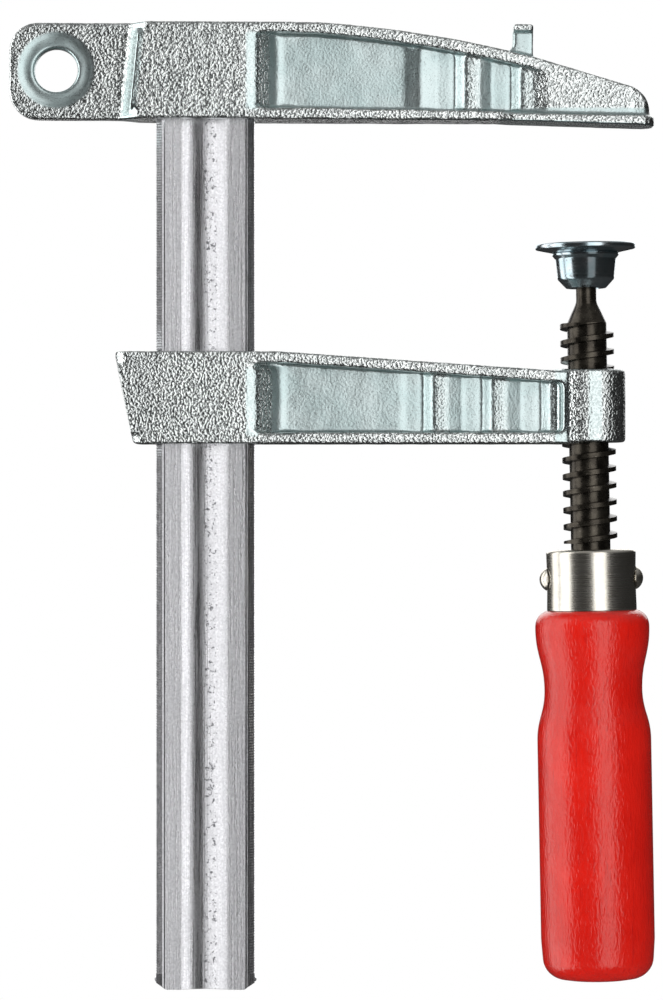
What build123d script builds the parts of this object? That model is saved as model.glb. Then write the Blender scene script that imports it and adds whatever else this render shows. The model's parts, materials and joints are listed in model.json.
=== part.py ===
from build123d import *
import os
from math import cos, pi, radians, sin, tan

# F clamp of malleable cast iron: a fixed jaw pressed on a steel rail, a sliding jaw with a screw,
# a swivelling pressure pad and a turned wooden handle.
# Millimetres, +Z up. The origin is the centre of the hanging hole in the fixed jaw. The rail stands
# along Z, both jaws reach along +X, and XZ is the plane of symmetry of everything but the thread.

# --- Rail: a drawn bar with a shallow groove on both faces and bevelled, grooved edges
rail_offset = 30.0  # hanging hole to the near edge of the rail
rail_width = 29.5
rail_thickness = 11.0
rail_length = 289.0  # from the top of the fixed jaw to the bottom end
bevel_width = 2.0  # 45 degree bevels that the jaw bites on
shoulder_width = 0.75
shoulder_depth = 0.5
groove_width = 14.9
groove_depth = 2.2
end_chamfer_width = 3.0
end_chamfer_height = 1.8
peen_inset = 1.6  # the riveted head stands inside the outline of the rail
peen_height = 0.5
upset_height = 3.0  # the top end is upset to fill the hole of the fixed jaw
stake_out = 0.6  # burrs that stop the sliding jaw at the bottom end
stake_height = 1.6
stake_width = 4.0
stake_from_end = 1.9
seat_clearance = 0.05  # rail to the hole of the fixed jaw
slide_clearance = 0.3  # rail to the hole of the sliding jaw, on every side

# --- Fixed jaw
jaw_tilt = 0.3  # degrees, the whole casting falls towards its tip
jaw_top = 14.0
jaw_bottom = -15.0
block_thickness = 20.0
arm_root_thickness = 20.0
arm_front_thickness = 16.4  # over the flanges, just before the nose
nose_thickness = 14.0
nose_fall = 0.295  # the straight run of its top edge falls this much for each millimetre
crown_height = 3.4  # where the arm's curved edge meets that straight run
nose_length = 37.0  # behind the tip, where there are no pockets
tip_overhang = 19.6  # screw axis to the end of the anvil
tip_radius = 5.5
hole_radius = 6.5
hole_chamfer = 0.6
eye_thickness = 7.0
eye_end = 14.0  # hanging hole to the end of the eye
eye_corner = 8.5
eye_ring_radius = 11.2
eye_ring_depth = 0.5
step_foot = 19.0  # the eye thickens to the block between foot and head, and leans with the outline
step_head = 24.3
step_lean = 2.9
anvil_thickness = 18.0
anvil_facet = 4.5  # it grows out of the arm's flange over this length
anvil_height = 2.4
anvil_length = 46.5
anvil_slope = 1.5  # degrees, falling towards the tip, so that the loaded jaws come parallel
lug_offset = 19.7  # screw axis back to the middle of the lug
lug_width = 6.0
lug_top = 14.0
lug_thickness = 9.0
lug_cap_height = 2.2
lug_cap_thickness = 13.0
lug_fillet = 3.0

# --- Pockets of both jaws, with the wavy web between them
fixed_web_thickness = 6.0
fixed_top_flange = 3.2
fixed_bottom_flange = 3.7
sliding_web_thickness = 6.4
sliding_flange = 3.6
pocket_ramp = 7.4  # the end wall at the rail is a slope this wide
pocket_corner = 6.0
rib_rise = 2.7
rib_pitch_fixed = 16.8
rib_pitch_sliding = 17.6
first_hump = 1.6  # the fixed jaw's web swells this much before its first rib
first_hump_lead = 10.1  # hump to the first crease
first_hump_rise = 4.5  # along the arm, from the flat web up to the hump
valley_depth = 0.25  # the crease beside each rib dips under the web's face

# --- Sliding jaw
opening_at_rest = 69.3  # fixed jaw to sliding jaw
sliding_height = 27.7  # of its block at the rail
sliding_arm_drop = 5.6  # how far its top edge falls towards the boss
sliding_block_thickness = 22.0
sliding_arm_thickness = 18.0  # at the boss
back_top = 12.4  # rail to the leaning back face, at its top and its bottom edge
back_bottom = 6.7
back_corner = 4.4
boss_radius = 11.2
boss_height = 22.0
boss_bottom_inset = 0.5

# --- Screw, drawn about the centre of its ball
throat = 100.0  # rail to the screw axis, at the middle of the boss
screw_lean = 1.05  # degrees off the rail, towards it at the top
ball_height = 41.0  # middle of the boss to the ball
ball_radius = 5.4
neck_radius = 3.05
neck_length = 9.0  # ball centre to the start of the taper
taper_length = 7.2
thread_pitch = 5.0
thread_radius = 8.05
root_radius = 5.92
crest_width = 1.35
ridge_base_width = 2.1
thread_end = 82.2  # ball centre to the lower end of the thread
thread_end_angle = 180.0
thread_play = 0.3  # screw to nut, on every face
shank_length = 45.0  # inside the handle

# --- Pressure pad: a plate on a cup, held to the ball by a split ring
plate_radius = 15.05
plate_rim = 1.6
plate_top = 7.65
plate_edge = 0.6
plate_dish = 0.25
cup_top_radius = 10.0
cup_side_radius = 9.2
cup_foot_radius = 8.5
cup_mouth_land = 1.3
cup_height = 10.75
cup_top = 5.0
swivel_play = 0.3  # ball to ring, and ring to cup
ring_thickness = 0.9
ring_split = 1.2
mouth_radius = 4.3

# --- Handle
ferrule_top = 84.05  # ball centre to the top of the ferrule
ferrule_height = 18.15
ferrule_radius = 13.45
ferrule_wall = 0.9
ferrule_edge = 1.2
grip_radius = 17.05
grip_bulge_radius = 17.1
waist_radius = 14.65
grip_length = 110.5  # the red wood below the ferrule
shoulder_height = 5.2
waist_from_ferrule = 23.7
barrel_from_ferrule = 39.0
grip_end_radius = 6.5
fit_clearance = 0.05  # handle, ferrule and rivet on each other
rivet_radius = 2.25
rivet_head_radius = 3.5
rivet_head_height = 2.2
rivet_from_ferrule_top = 8.7

# --- Places that follow from the sizes above
rail_middle = rail_offset + rail_width / 2
rail_far = rail_offset + rail_width
rail_bottom = jaw_top - rail_length
screw_x = rail_far + throat
tip_x = screw_x + tip_overhang
nose_x = tip_x - nose_length
sliding_top = jaw_bottom - opening_at_rest
sliding_bottom = sliding_top - sliding_height
boss_bottom = sliding_bottom + boss_bottom_inset
boss_middle = boss_bottom + boss_height / 2
ferrule_bottom = ferrule_top + ferrule_height
rivet_height = -(ferrule_top + rivet_from_ferrule_top)


def shape(points, radii=None):
    """A flat face with its corners rounded by radii, one for each point, or left sharp."""
    if radii is None:
        return make_face(Polyline(*points, close=True))
    return make_face(FilletPolyline(*points, radius=radii, close=True))


def upright(face, half):
    """A face drawn in X and Z, thickened to both sides of the plane of symmetry."""
    return extrude(Plane.XZ * face, amount=half, both=True)


def standing(face, low, high):
    """A face drawn in X and Y, raised from one height to another."""
    return extrude(Pos(0, 0, low) * face, amount=high - low)


def turned(face):
    """A face drawn in radius and height, turned about the Z axis."""
    return revolve(Plane.XZ * face, Axis.Z)


def both_sides(solid):
    """A solid and its mirror image across the plane of symmetry."""
    return [solid, mirror(solid, Plane.XZ)]


def on_screw(solid):
    """Moves a piece drawn about the ball to the ball's place on the leaning screw axis."""
    return Pos(screw_x, 0, boss_middle) * Rot(0, -screw_lean, 0) * Pos(0, 0, ball_height) * solid


def symmetric_plan(points):
    """A face in X and Y from the points of its +Y half, in order of X, and their mirror images."""
    return shape(points + [(x, -y) for x, y in reversed(points)])


# --- Rail


def rail_section():
    """The bar's section: lands, grooves, shoulders and bevels, the same on both faces."""
    edge = rail_width / 2
    face = rail_thickness / 2
    bevel_top = face - shoulder_depth
    half = [
        (edge, bevel_top - bevel_width),
        (edge - bevel_width, bevel_top),
        (edge - bevel_width - shoulder_width, face),
    ]
    corners = half + [(-x, y) for x, y in reversed(half)]
    section = shape(corners + [(-x, -y) for x, y in corners])
    chord = groove_width / 2
    for side in (1, -1):
        rim = face * side
        floor = (face - groove_depth) * side
        arc = ThreePointArc((-chord, rim), (0, floor), (chord, rim))
        section -= make_face(arc + Line((chord, rim), (-chord, rim)))
    return section


def rail_end_outline():
    """The bar seen from the front, with its two bottom corners cut off."""
    left, right = -rail_width / 2, rail_width / 2
    return shape(
        [
            (left, jaw_top),
            (right, jaw_top),
            (right, rail_bottom + end_chamfer_height),
            (right - end_chamfer_width, rail_bottom),
            (left + end_chamfer_width, rail_bottom),
            (left, rail_bottom + end_chamfer_height),
        ]
    )


def rail():
    """The bar, its riveted head on the fixed jaw and the burrs that stop the sliding jaw."""
    bar = Pos(0, 0, rail_bottom) * extrude(rail_section(), amount=rail_length)
    bar &= upright(rail_end_outline(), rail_thickness)
    head = extrude(
        Rectangle(rail_width - 2 * peen_inset, rail_thickness - 2 * peen_inset),
        amount=peen_height,
        taper=30,
    )
    upset = Pos(0, 0, jaw_top - upset_height / 2) * Box(rail_width, rail_thickness, upset_height)
    bar += upset
    bar += Pos(0, 0, jaw_top) * head
    stake_middle = rail_bottom + stake_from_end + stake_height / 2
    for side in (1, -1):
        burr = Box(stake_out + 1, stake_width, stake_height)
        burr = chamfer(burr.faces().sort_by(Axis.X)[-1].edges(), stake_out / 2)
        if side < 0:
            burr = Rot(0, 0, 180) * burr
        bar += Pos(side * (rail_width / 2 + (stake_out - 1) / 2), 0, stake_middle) * burr
    return Pos(rail_middle, 0, 0) * bar


def rail_hole(clearance, low, high):
    """The rectangular hole that a jaw has for the rail."""
    hole = Rectangle(rail_width + 2 * clearance, rail_thickness + 2 * clearance)
    return standing(Pos(rail_middle, 0) * hole, low, high)


# --- Pockets and ribs


def web_profile(ramp_x, wall, floor, ribs, end_x, end_depth, hump=0.0):
    """The pocket in plan: a slope down from the block, then the web with a rib before each crease.

    wall is half the thickness at the block, floor half that of the web, and ribs the X of each
    crease, beside which a rib rises on the far side. hump is the web's swelling before them.
    """
    outside = wall + 8
    crest = floor + rib_rise
    slope = (outside - floor) / (wall - floor) * pocket_ramp
    points = [(ramp_x + pocket_ramp - slope, outside), (ramp_x + pocket_ramp, floor)]
    radii = [0, pocket_corner]
    if hump:
        hump_x = ribs[0] - first_hump_lead
        points += [(hump_x - first_hump_rise, floor), (hump_x, floor + hump)]
        radii += [2.5, 2.5]
    for crease in ribs:
        points += [
            (crease - 5.9, floor + 0.4),
            (crease, floor - valley_depth),
            (crease + 3.2, crest),
            (crease + 7.2, crest),
        ]
        radii += [2.0, 0.25, 1.8, 2.2]
    points += [(end_x, end_depth), (end_x + 0.5, outside)]
    radii += [0, 0]
    return shape(points, radii)


def pocket_pair(outline, low, high, profile):
    """Both pockets of a jaw: the outline seen from the front, cut down to the wavy web."""
    depth = standing(profile, low, high)
    front = extrude(Plane.XZ * outline, amount=-40)
    return both_sides(depth & front)


# --- Fixed jaw


def top_edge_height(x):
    """Height of the fixed jaw's top edge at x, along the straight run between arm and nose."""
    return nose_crown()[1] - (x - nose_crown()[0]) * nose_fall


def nose_crown():
    """Where the arm's curved top edge meets the straight run of the nose."""
    return nose_x + 3.8, crown_height


def fixed_outline():
    """The fixed jaw from the front, without eye, lug and anvil."""
    crown = nose_crown()
    arm_start = (rail_far + 18.5, jaw_top)
    middle = ((arm_start[0] + crown[0]) / 2 + 2.0, (jaw_top + crown[1]) / 2 + 1.4)
    brow = (tip_x - 8.5, top_edge_height(tip_x - 8.5))
    cheek = (tip_x - 2.9, brow[1] - 3.3)
    nose_end = (tip_x - 1.3, jaw_bottom + 4.7)
    chin = (tip_x - 1.2, jaw_bottom + anvil_height / 2)
    left = step_head + step_lean
    return make_face(
        Polyline((step_head, jaw_bottom), (left, jaw_top), arm_start)
        + ThreePointArc(arm_start, middle, crown)
        + Line(crown, brow)
        + ThreePointArc(brow, cheek, nose_end)
        + Polyline(nose_end, chin, (tip_x - 6, jaw_bottom), (step_head, jaw_bottom))
    )


def fixed_plan():
    """The fixed jaw from above, from the block to the nose."""
    return symmetric_plan(
        [
            (step_head - 1, block_thickness / 2),
            (rail_far - 2, arm_root_thickness / 2),
            (nose_x - 8, arm_front_thickness / 2),
            (nose_x + 5, nose_thickness / 2),
            (tip_x - 7, nose_thickness / 2 - 0.4),
            (tip_x - 2.6, nose_thickness / 2 - 2.0),
            (tip_x - 1.2, nose_thickness / 2 - 4.4),
            (tip_x - 1.0, 0.6),
        ]
    )


def step_side():
    """The slope on one side, where the thin eye widens to the block."""
    end = rail_offset - 2
    thin, thick = eye_thickness / 2, block_thickness / 2

    def quad(foot, side):
        face = shape(
            [(foot, jaw_bottom), (foot + step_lean, jaw_top), (end, jaw_top), (end, jaw_bottom)]
        )
        return Pos(0, -side, 0) * (Plane.XZ * face)

    return loft([quad(step_foot, thin), quad(step_head, thick)], ruled=True)


def eye():
    """The hanging eye: a thin rounded tab with a bore in a shallow turned ring."""
    tab = shape(
        [(-eye_end, jaw_bottom), (rail_offset, jaw_bottom), (rail_offset, jaw_top), (-eye_end, jaw_top)],
        [eye_corner, 0, 0, eye_corner],
    )
    return upright(tab, eye_thickness / 2)


def eye_cuts():
    """The bore, its chamfers and the turned ring around it, to cut from the finished jaw."""
    half = eye_thickness / 2
    profile = [
        (0, 0),
        (hole_radius, 0),
        (hole_radius, half - eye_ring_depth - hole_chamfer),
        (hole_radius + hole_chamfer, half - eye_ring_depth),
        (eye_ring_radius - 1.0, half - eye_ring_depth),
        (eye_ring_radius, half),
        (eye_ring_radius, half + 1),
        (0, half + 1),
    ]
    cut = turned(shape(profile))
    return [Rot(90, 0, 0) * cut, Rot(-90, 0, 0) * cut]


def anvil():
    """The machined clamping face under the nose, falling towards the tip."""
    start = tip_x - anvil_length
    fall = tan(radians(anvil_slope)) * anvil_length
    side = shape(
        [
            (start, jaw_bottom),
            (start, jaw_bottom + anvil_height),
            (tip_x, jaw_bottom + anvil_height - fall / 2),
            (tip_x, jaw_bottom - fall),
        ]
    )
    half, root = anvil_thickness / 2, arm_front_thickness / 2
    plan = shape(
        [
            (start, -root),
            (start + anvil_facet, -half),
            (tip_x, -half),
            (tip_x, half),
            (start + anvil_facet, half),
            (start, root),
        ],
        [0, 0, tip_radius, tip_radius, 0, 0],
    )
    return upright(side, anvil_thickness) & standing(plan, jaw_bottom - 5, jaw_bottom + 8)


def lug():
    """The small upright lug on the nose, with a thicker cap and a fillet towards the arm."""
    middle = screw_x - lug_offset
    left, right = middle - lug_width / 2, middle + lug_width / 2
    foot = nose_crown()[1] - 1.0
    stem = make_face(
        Polyline(
            (left, foot), (right, foot), (right, lug_top), (left, lug_top), (left, foot + 3.2 + lug_fillet)
        )
        + ThreePointArc(
            (left, foot + 3.2 + lug_fillet),
            (left - lug_fillet * 0.29, foot + 3.2 + lug_fillet * 0.29),
            (left - lug_fillet, foot + 3.2),
        )
        + Polyline((left - lug_fillet, foot + 3.2), (left - lug_fillet, foot), (left, foot))
    )
    cap = Box(lug_width, lug_cap_thickness, lug_cap_height)
    cap = fillet(cap.edges().filter_by(Axis.Z), 1.2)
    return upright(stem, lug_thickness / 2) + Pos(middle, 0, lug_top - lug_cap_height / 2) * cap


def fixed_pockets():
    """Both pockets of the fixed jaw, under the curved top flange."""
    crown = nose_crown()
    end = nose_x + 4.6
    low = jaw_bottom + fixed_bottom_flange
    top = jaw_top - fixed_top_flange
    start = (rail_far + 2.2, top)
    ramp_x = rail_far - 2.0
    before = (rail_far + 18.5, top - 0.25)
    close = (end, crown[1] - 3.9)
    bend = ((before[0] + close[0]) / 2 + 2.0, (before[1] + close[1]) / 2 + 1.2)
    outline = make_face(
        Polyline((ramp_x, low + 1.6), (ramp_x, top - 1.6), start, before)
        + ThreePointArc(before, bend, close)
        + Polyline(close, (end, low - 0.9), (rail_far + 2.2, low), (ramp_x, low + 1.6))
    )
    crest_end = nose_x - 0.6
    ribs = [crest_end - 5.4 - n * rib_pitch_fixed for n in (1, 0)]
    half, floor = block_thickness / 2, fixed_web_thickness / 2
    profile = web_profile(ramp_x, half, floor, ribs, end, nose_thickness / 2 + 0.05, first_hump)
    return pocket_pair(outline, jaw_bottom, jaw_top, profile)


def fixed_jaw():
    """The upper casting."""
    jaw = upright(fixed_outline(), block_thickness) & standing(fixed_plan(), jaw_bottom, jaw_top)
    for pocket in fixed_pockets():
        jaw -= pocket
    jaw += eye()
    for side in both_sides(step_side()):
        jaw += side
    jaw += anvil()
    jaw += lug()
    jaw = Pos(rail_middle, 0, 0) * Rot(0, jaw_tilt, 0) * Pos(-rail_middle, 0, 0) * jaw
    for cut in eye_cuts():
        jaw -= cut
    return jaw - rail_hole(seat_clearance, jaw_bottom - 1, jaw_top + 1)


# --- Sliding jaw


def sliding_outline():
    """The sliding jaw from the front, without its boss."""
    left_top = rail_offset - back_top
    left_bottom = rail_offset - back_bottom
    end_top = sliding_top - sliding_arm_drop
    return shape(
        [
            (left_bottom, sliding_bottom),
            (screw_x, sliding_bottom),
            (screw_x, end_top - 0.6),
            (screw_x - boss_radius, end_top),
            (rail_far + 7, sliding_top),
            (left_top, sliding_top),
        ],
        [0.8, 0, 0, 6.0, 30.0, 0.8],
    )


def sliding_plan():
    """The sliding jaw from above: a round-cornered block and a tapering arm."""
    left = rail_offset - back_top
    half, end = sliding_block_thickness / 2, sliding_arm_thickness / 2
    return shape(
        [(left, -half), (rail_far - 3, -half), (screw_x, -end), (screw_x, end), (rail_far - 3, half), (left, half)],
        [0.1, 3, 0, 0, 3, 0.1],
    )


def back_cuts():
    """Rounds the two upright corners of the leaning back face."""
    left_top = rail_offset - back_top
    lean = (back_top - back_bottom) / sliding_height
    half = sliding_block_thickness / 2
    radius = back_corner
    corner = make_face(
        Polyline((0, half - radius), (0, half + 1), (radius, half + 1), (radius, half))
        + ThreePointArc(
            (radius, half), (radius * (1 - 0.7071), half - radius * (1 - 0.7071)), (0, half - radius)
        )
    )
    outer = corner + make_face(
        Polyline((-9, half - radius), (0, half - radius), (0, half + 1), (-9, half + 1), close=True)
    )
    faces = [
        Pos(left_top + lean * (sliding_top - z), 0, z) * outer for z in (sliding_bottom - 1, sliding_top + 1)
    ]
    return both_sides(loft(faces, ruled=True))


def sliding_pockets():
    """Both pockets of the sliding jaw, ending at the boss."""
    low = sliding_bottom + sliding_flange
    top = sliding_top - sliding_flange
    end = screw_x - boss_radius + 3
    end_top = sliding_top - sliding_arm_drop - sliding_flange - 0.1
    ramp_x = rail_far - 2.5
    outline = shape(
        [
            (ramp_x, low + 1.4),
            (rail_far + 2, low),
            (end, low),
            (end, end_top),
            (rail_far + 9, top),
            (rail_far + 2, top),
            (ramp_x, top - 1.4),
        ],
        [1, 1.5, 1.5, 1.5, 20, 2, 1],
    )
    last = screw_x - boss_radius - 3.4
    ribs = [last - n * rib_pitch_sliding for n in (2, 1, 0)]
    profile = web_profile(
        ramp_x, sliding_block_thickness / 2, sliding_web_thickness / 2, ribs, end + 8, 6.0
    )
    return pocket_pair(outline, sliding_bottom, sliding_top, profile)


def boss():
    """The round boss at the arm's end, its top face sloping a little towards the tip."""
    body = Pos(screw_x, 0, boss_middle) * Cylinder(boss_radius, boss_height)
    return chamfer(body.edges().filter_by(GeomType.CIRCLE), 0.5)


def sliding_jaw():
    """The lower casting, with its threaded boss."""
    jaw = upright(sliding_outline(), sliding_block_thickness)
    jaw &= standing(sliding_plan(), sliding_bottom, sliding_top)
    for cut in back_cuts():
        jaw -= cut
    for pocket in sliding_pockets():
        jaw -= pocket
    jaw += boss()
    jaw -= on_screw(tap())
    return jaw - rail_hole(slide_clearance, sliding_bottom - 1, sliding_top + 1)


# --- Screw


def thread_section(play):
    """The screw's cross-section, the same at every height but turned: a root circle with one lobe."""
    root, crest = root_radius + play, thread_radius + play
    crest_half = pi * (crest_width + 2 * play) / thread_pitch
    foot_half = pi * (ridge_base_width + 2 * play) / thread_pitch

    def at(radius, angle):
        return radius * cos(angle), radius * sin(angle)

    def flank(side):
        steps = [n / 4 for n in range(5)]
        return Spline(
            *[
                at(crest + (root - crest) * t, side * (crest_half + (foot_half - crest_half) * t))
                for t in steps
            ]
        )

    return make_face(
        ThreePointArc(at(crest, -crest_half), at(crest, 0), at(crest, crest_half))
        + flank(1)
        + ThreePointArc(at(root, foot_half), at(root, pi), at(root, -foot_half))
        + flank(-1)
    )


def thread(low, high, play=0.0):
    """The right-hand threaded stretch between two heights, in the phase of the screw."""
    height = high - low
    turn = 360 * (low + thread_end) / thread_pitch + thread_end_angle
    section = thread_section(play).face()
    twisted = Solid.extrude_linear_with_rotation(
        section, (0, 0, 0), (0, 0, height), 360 * height / thread_pitch
    )
    return Pos(0, 0, low) * Rot(0, 0, turn) * twisted


def tap():
    """What the nut thread removes from the boss, in the screw's own frame and phase."""
    reach = boss_height / 2 + 3
    return thread(-ball_height - reach, -ball_height + reach, thread_play)


def spindle_core():
    """The ball, the neck and the taper, and below the thread the plain tang in the handle."""
    end = -(ferrule_top + shank_length)
    taper_top = -neck_length
    taper_foot = taper_top - taper_length
    neck = make_face(
        Polyline((0, 0), (0, taper_foot), (root_radius, taper_foot))
        + Spline(
            (root_radius, taper_foot),
            (neck_radius + 0.9, taper_top - taper_length * 0.4),
            (neck_radius, taper_top),
            tangents=[(-0.45, 1), (0, 1)],
        )
        + Polyline((neck_radius, taper_top), (neck_radius, 0), (0, 0))
    )
    tang = shape(
        [
            (0, -thread_end),
            (root_radius, -thread_end),
            (root_radius, end + 1),
            (root_radius - 1, end),
            (0, end),
        ]
    )
    return turned(neck) + Sphere(ball_radius), turned(tang)


def spindle():
    """The screw, from its ball to the tang in the handle."""
    head, tang = spindle_core()
    screw = head + thread(-thread_end, -(neck_length + taper_length)) + tang
    return on_screw(screw - rivet_hole())


# --- Pressure pad


def cup_cavity_radius():
    """The socket leaves room for the ring between itself and the ball."""
    return ball_radius + ring_thickness + 2 * swivel_play


def ball_cup():
    """The cup around the ball, open below for the neck."""
    cavity = cup_cavity_radius()
    foot = cup_top - cup_height
    outer = shape(
        [
            (0, cup_top),
            (cup_top_radius, cup_top),
            (cup_top_radius, cup_top - 0.8),
            (cup_side_radius, cup_top - 1.8),
            (cup_foot_radius, foot + 2.8),
            (mouth_radius + cup_mouth_land + 0.3, foot),
            (0, foot),
        ],
        [0, 0.35, 0.5, 0.6, 1.2, 0.8, 0],
    )
    socket = Sphere(cavity) + Pos(0, 0, cavity / 2) * Cylinder(cavity, cavity)
    mouth = Pos(0, 0, foot) * Cone(mouth_radius + 1.0, mouth_radius - 0.4, 3)
    return on_screw(turned(outer) - socket - mouth)


def pressure_plate():
    """The round plate that meets the work, dished on top and bearing on the ball below."""
    thrust = ball_radius + swivel_play
    rim_low = plate_top - plate_rim
    profile = shape(
        [
            (0, thrust),
            (ball_radius, thrust),
            (ball_radius + 0.6, cup_top),
            (cup_top_radius + 0.2, cup_top),
            (plate_radius, rim_low),
            (plate_radius, plate_top),
            (plate_radius - 3.0, plate_top),
            (plate_radius - 3.4, plate_top - plate_dish),
            (0, plate_top - plate_dish),
        ],
        [0, 0.3, 0, 0, plate_edge, plate_edge, 0, 0, 0],
    )
    return on_screw(turned(profile))


def retaining_ring():
    """The split ring between ball and cup: a zone of a hollow sphere under the ball's middle."""
    inner = ball_radius + swivel_play
    outer = inner + ring_thickness
    band = Sphere(outer) - Sphere(inner)
    high = -outer * sin(radians(10))
    low = -outer * sin(radians(46))
    band &= Pos(0, 0, (high + low) / 2) * Cylinder(outer + 1, high - low)
    slit = Pos(-outer, 0, 0) * Box(2 * outer, ring_split, 4 * outer)
    return on_screw(band - slit)


# --- Handle


def rivet_hole():
    """The cross hole through ferrule, wood and tang."""
    bore = Cylinder(rivet_radius + fit_clearance, 4 * ferrule_radius)
    return Pos(0, 0, rivet_height) * Rot(0, 90, 0) * bore


def ferrule():
    """The drawn steel cap over the handle's neck, with a hole for the screw."""
    top, foot = -ferrule_top, -ferrule_bottom
    cap = Pos(0, 0, (top + foot) / 2) * Cylinder(ferrule_radius, ferrule_height)
    cap = fillet(cap.edges().sort_by(Axis.Z)[-1], ferrule_edge)
    depth = ferrule_height - ferrule_wall
    inside = Pos(0, 0, foot + depth / 2) * Cylinder(ferrule_radius - ferrule_wall, depth)
    inside = fillet(inside.edges().sort_by(Axis.Z)[-1], ferrule_edge - ferrule_wall / 2)
    hole = Pos(0, 0, top) * Cylinder(root_radius + thread_play, 4 * ferrule_wall)
    return on_screw(cap - inside - hole - rivet_hole())


def swell(start, end):
    """A smooth S from one radius and height to another, upright at both ends."""
    reach = (end[1] - start[1]) * 0.45
    return Bezier(start, (start[0], start[1] + reach), (end[0], end[1] - reach), end)


def handle():
    """The turned wooden grip: a neck inside the ferrule, a bulge, a waist and a long barrel."""
    neck_top = -(ferrule_top + ferrule_wall + fit_clearance)
    neck = ferrule_radius - ferrule_wall - fit_clearance
    seat = -(ferrule_bottom + fit_clearance)
    bulge = seat - shoulder_height
    waist = seat - waist_from_ferrule
    barrel = seat - barrel_from_ferrule
    end = seat - grip_length
    shoulder = ferrule_radius + 0.15
    profile = make_face(
        Polyline(
            (0, end), (0, neck_top), (neck - 1, neck_top), (neck, neck_top - 1), (neck, seat), (shoulder, seat)
        )
        + Spline((shoulder, seat), (grip_bulge_radius, bulge), tangents=[(1, -0.35), (0, -1)])
        + swell((grip_bulge_radius, bulge), (waist_radius, waist))
        + swell((waist_radius, waist), (grip_radius, barrel))
        + FilletPolyline(
            (grip_radius, barrel),
            (grip_radius, end + 12),
            (grip_radius - 0.9, end),
            (0, end),
            radius=[20, grip_end_radius],
        )
    )
    tang = Pos(0, 0, neck_top - shank_length / 2) * Cylinder(root_radius + 0.1, shank_length + 4)
    return on_screw(turned(profile) - tang - rivet_hole())


def handle_rivet():
    """The cross rivet, with a domed head on each side of the ferrule."""
    seat = ferrule_radius - 0.1
    cap_radius = (rivet_head_radius**2 + rivet_head_height**2) / (2 * rivet_head_height)
    dome = Sphere(cap_radius) & Pos(0, 0, cap_radius) * Cylinder(cap_radius, 2 * rivet_head_height)
    dome = Pos(0, 0, seat + rivet_head_height - cap_radius) * dome
    pin = Cylinder(rivet_radius, 2 * seat + 0.5)
    rivet = pin
    for flip in (0, 180):
        rivet += Rot(flip, 0, 0) * dome
    rivet = Pos(0, 0, rivet_height) * Rot(0, 90, 0) * rivet
    sleeve = Pos(0, 0, rivet_height) * (
        Cylinder(ferrule_radius + 0.02, 12) - Rot(0, 90, 0) * Cylinder(rivet_radius, 60)
    )
    return on_screw(rivet - sleeve)


pieces = {
    "rail": rail,
    "fixed_jaw": fixed_jaw,
    "sliding_jaw": sliding_jaw,
    "spindle": spindle,
    "retaining_ring": retaining_ring,
    "ball_cup": ball_cup,
    "pressure_plate": pressure_plate,
    "ferrule": ferrule,
    "handle": handle,
    "handle_rivet": handle_rivet,
}

os.makedirs("parts", exist_ok=True)
for name, make in pieces.items():
    export_step(make(), f"parts/{name}.step")
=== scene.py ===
import json
import math

import bpy
import numpy as np
from mathutils import Matrix, Vector, noise


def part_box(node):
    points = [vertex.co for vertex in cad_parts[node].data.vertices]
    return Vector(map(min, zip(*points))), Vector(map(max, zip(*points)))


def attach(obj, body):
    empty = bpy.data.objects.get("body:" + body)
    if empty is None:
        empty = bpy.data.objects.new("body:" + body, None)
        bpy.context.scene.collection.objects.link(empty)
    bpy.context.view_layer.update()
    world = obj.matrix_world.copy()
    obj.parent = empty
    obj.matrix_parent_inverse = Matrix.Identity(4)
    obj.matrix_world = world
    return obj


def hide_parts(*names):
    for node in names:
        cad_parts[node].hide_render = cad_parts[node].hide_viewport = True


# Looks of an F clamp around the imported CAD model. Metres, +Z up, the same frame as the CAD: the origin
# is the centre of the hanging hole, the rail stands along Z and the jaws reach along +X.

MM = 0.001

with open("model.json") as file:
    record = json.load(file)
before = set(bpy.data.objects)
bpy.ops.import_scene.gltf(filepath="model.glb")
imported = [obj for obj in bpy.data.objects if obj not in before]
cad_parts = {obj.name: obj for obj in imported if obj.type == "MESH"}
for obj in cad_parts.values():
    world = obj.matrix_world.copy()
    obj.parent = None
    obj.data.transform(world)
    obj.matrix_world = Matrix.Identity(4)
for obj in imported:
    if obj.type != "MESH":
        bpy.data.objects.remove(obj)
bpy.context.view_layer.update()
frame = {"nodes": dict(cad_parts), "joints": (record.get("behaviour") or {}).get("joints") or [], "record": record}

# --- Sizes of what is built here, in millimetres unless said otherwise
CAST_VOXEL = 0.42
CAST_SMOOTHINGS = 9
MELTED_SMOOTHINGS = 24  # where the pockets begin, the castings are far rounder
CAST_WAVE = 0.07  # height of the casting's gentle unevenness
CAST_WAVE_LENGTH = 4.5
RAMP_START = 57.0  # X where the ramp down into the pockets leaves the flat side
RAMP_RADIUS = 6.0
RAMP_SLOPE = math.radians(44)
RAMP_CLEAR = 60.4  # beyond the rail slot
RAMP_END = 70.0  # the ramp has met the web before this
OUTER_DEPTH = 6.8  # distance from the middle plane past which nothing belongs to the rail slot
CREASE_PROFILE = ((-6.2, 0.45), (-5.4, 0.1), (-0.9, 0.1), (-0.2, -0.2))  # X from a crease, and rise
CREASE_REACH = 0.9  # only what lies less than this over the web is levelled
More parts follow.
